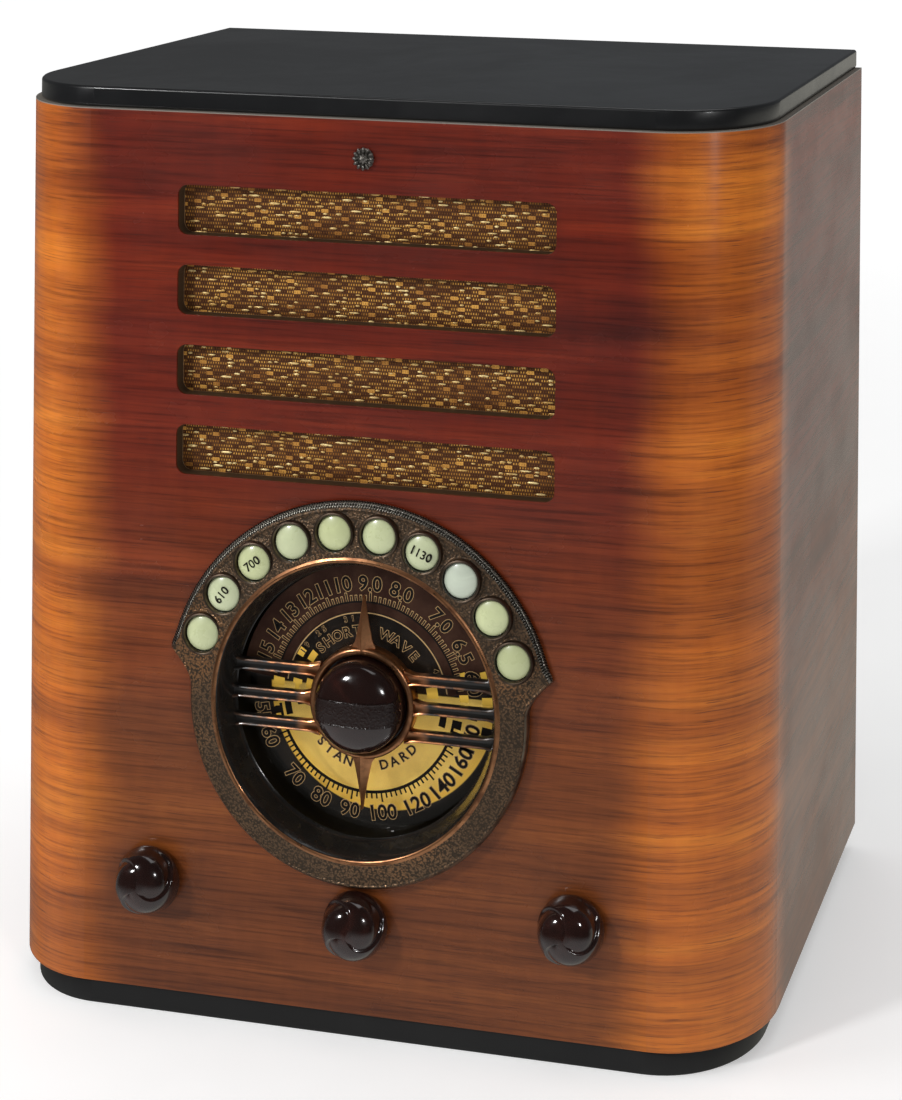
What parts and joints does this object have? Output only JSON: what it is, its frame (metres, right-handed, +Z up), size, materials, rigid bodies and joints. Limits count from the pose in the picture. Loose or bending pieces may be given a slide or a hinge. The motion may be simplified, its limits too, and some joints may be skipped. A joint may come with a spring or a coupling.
{
  "type": "table radio",
  "caption": "Upright wooden table radio with a rotary station dial, push buttons, slotted speaker grille, knobs and an open back over the chassis.",
  "frame": {"origin": "centre of the base's underside, at table height", "axes": "+Z up out of the top board, -Y out of the front face with the dial, +X to the right seen from the front"},
  "size_m": [0.346, 0.237, 0.4],
  "materials": {
    "veneer": "polished walnut veneer with the grain running across",
    "black_lacquer": "piano-black lacquer on wood",
    "black_paint": "satin black painted wood",
    "raw_wood": "plain softwood and plywood",
    "bronze": "antique bronze plating over a hammered casting",
    "brass": "turned brass",
    "ivory": "pale green-cream moulding",
    "bakelite": "dark brown-black moulded phenolic",
    "cloth": "brown and gold woven grille cloth",
    "paper_black": "stiff black paper",
    "steel": "plated steel",
    "dark_steel": "black enamelled steel",
    "aluminium": "spun and pressed aluminium",
    "yellow_card": "yellow painted disc",
    "clear_glass": "clear glass, slightly domed at the lamps and tubes",
    "phenolic": "brown phenolic sheet",
    "cord": "braided cotton over rubber"
  },
  "bodies": {
    "cabinet": {"cabinet_wrap": "veneer", "top_board": "black_lacquer", "base_plinth": "black_paint", "bottom_shelf": "raw_wood", "glue_blocks": "raw_wood", "rosette": "bronze", "speaker_baffle": "raw_wood", "grille_cloth": "cloth", "speaker_frame": "dark_steel", "cone_surround": "paper_black", "field_pot": "dark_steel", "output_transformer": "dark_steel", "panel_fasteners": "steel", "dial_glass": "clear_glass", "dial_pan": "dark_steel", "lamp_house": "aluminium", "reflector_disc": "yellow_card", "pilot_lamps": "clear_glass", "lamp_sockets": "brass", "front_bearing": "brass", "dial_bracket": "steel", "vernier_housing": "steel", "gang_frame": "steel", "gang_stators": "aluminium", "chassis_pan": "steel", "tube_sockets": "phenolic", "tube_bases": "bakelite", "tube_glass": "clear_glass", "if_cans": "aluminium", "power_transformer": "dark_steel", "transformer_bells": "dark_steel", "filter_cans": "aluminium", "control_pots": "steel", "band_switch": "phenolic", "power_cord": "cord"},
    "dial": {"dial_rotor": "bronze", "rotor_sleeve": "brass", "button_springs": "steel", "vernier_carrier": "brass", "vernier_balls": "steel", "gang_rotor": "aluminium"},
    "button_01": {"station_button_01": "ivory"},
    "button_02": {"station_button_02": "ivory"},
    "button_03": {"station_button_03": "ivory"},
    "button_04": {"station_button_04": "ivory"},
    "button_05": {"station_button_05": "ivory"},
    "button_06": {"station_button_06": "ivory"},
    "button_07": {"station_button_07": "ivory"},
    "button_08": {"station_button_08": "ivory"},
    "button_09": {"station_button_09": "ivory"},
    "button_10": {"station_button_10": "ivory"},
    "fine_tuner": {"fine_knob": "bakelite", "fine_shaft": "steel"},
    "volume": {"volume_knob": "bakelite", "volume_shaft": "steel"},
    "tone": {"tone_knob": "bakelite", "tone_shaft": "steel"},
    "band": {"band_knob": "bakelite", "band_shaft": "steel"},
    "cone": {"speaker_cone": "paper_black"}
  },
  "joints": [
    {"name": "dial_turn", "type": "hinge", "parent": "cabinet", "child": "dial", "pos_m": [0, -0.111, 0.1423], "axis": [0, -1, 0], "range_deg": [-82, 82]},
    {"name": "button_01_press", "type": "slide", "parent": "dial", "child": "button_01", "axis": [0, 1, 0], "range_m": [0, 0.0022]},
    {"name": "button_02_press", "type": "slide", "parent": "dial", "child": "button_02", "axis": [0, 1, 0], "range_m": [0, 0.0022]},
    {"name": "button_03_press", "type": "slide", "parent": "dial", "child": "button_03", "axis": [0, 1, 0], "range_m": [0, 0.0022]},
    {"name": "button_04_press", "type": "slide", "parent": "dial", "child": "button_04", "axis": [0, 1, 0], "range_m": [0, 0.0022]},
    {"name": "button_05_press", "type": "slide", "parent": "dial", "child": "button_05", "axis": [0, 1, 0], "range_m": [0, 0.0022]},
    {"name": "button_06_press", "type": "slide", "parent": "dial", "child": "button_06", "axis": [0, 1, 0], "range_m": [0, 0.0022]},
    {"name": "button_07_press", "type": "slide", "parent": "dial", "child": "button_07", "axis": [0, 1, 0], "range_m": [0, 0.0022]},
    {"name": "button_08_press", "type": "slide", "parent": "dial", "child": "button_08", "axis": [0, 1, 0], "range_m": [0, 0.0022]},
    {"name": "button_09_press", "type": "slide", "parent": "dial", "child": "button_09", "axis": [0, 1, 0], "range_m": [0, 0.0022]},
    {"name": "button_10_press", "type": "slide", "parent": "dial", "child": "button_10", "axis": [0, 1, 0], "range_m": [0, 0.0022]},
    {"name": "fine_tune", "type": "hinge", "parent": "cabinet", "child": "fine_tuner", "pos_m": [0, -0.111, 0.1423], "axis": [0, -1, 0], "range_deg": [-330, 330]},
    {"name": "volume_turn", "type": "hinge", "parent": "cabinet", "child": "volume", "pos_m": [-0.0953, -0.111, 0.0595], "axis": [0, -1, 0], "range_deg": [-145, 145]},
    {"name": "tone_turn", "type": "hinge", "parent": "cabinet", "child": "tone", "pos_m": [0.0953, -0.111, 0.0595], "axis": [0, -1, 0], "range_deg": [-145, 145]},
    {"name": "band_turn", "type": "hinge", "parent": "cabinet", "child": "band", "pos_m": [0, -0.111, 0.0505], "axis": [0, -1, 0], "range_deg": [-30, 30]},
    {"name": "cone_move", "type": "slide", "parent": "cabinet", "child": "cone", "axis": [0, 1, 0], "range_m": [-0.001, 0.001]}
  ],
  "couplings": [
    {"joint": "fine_tune", "follows": "dial_turn", "ratio": 3.9134}
  ]
}
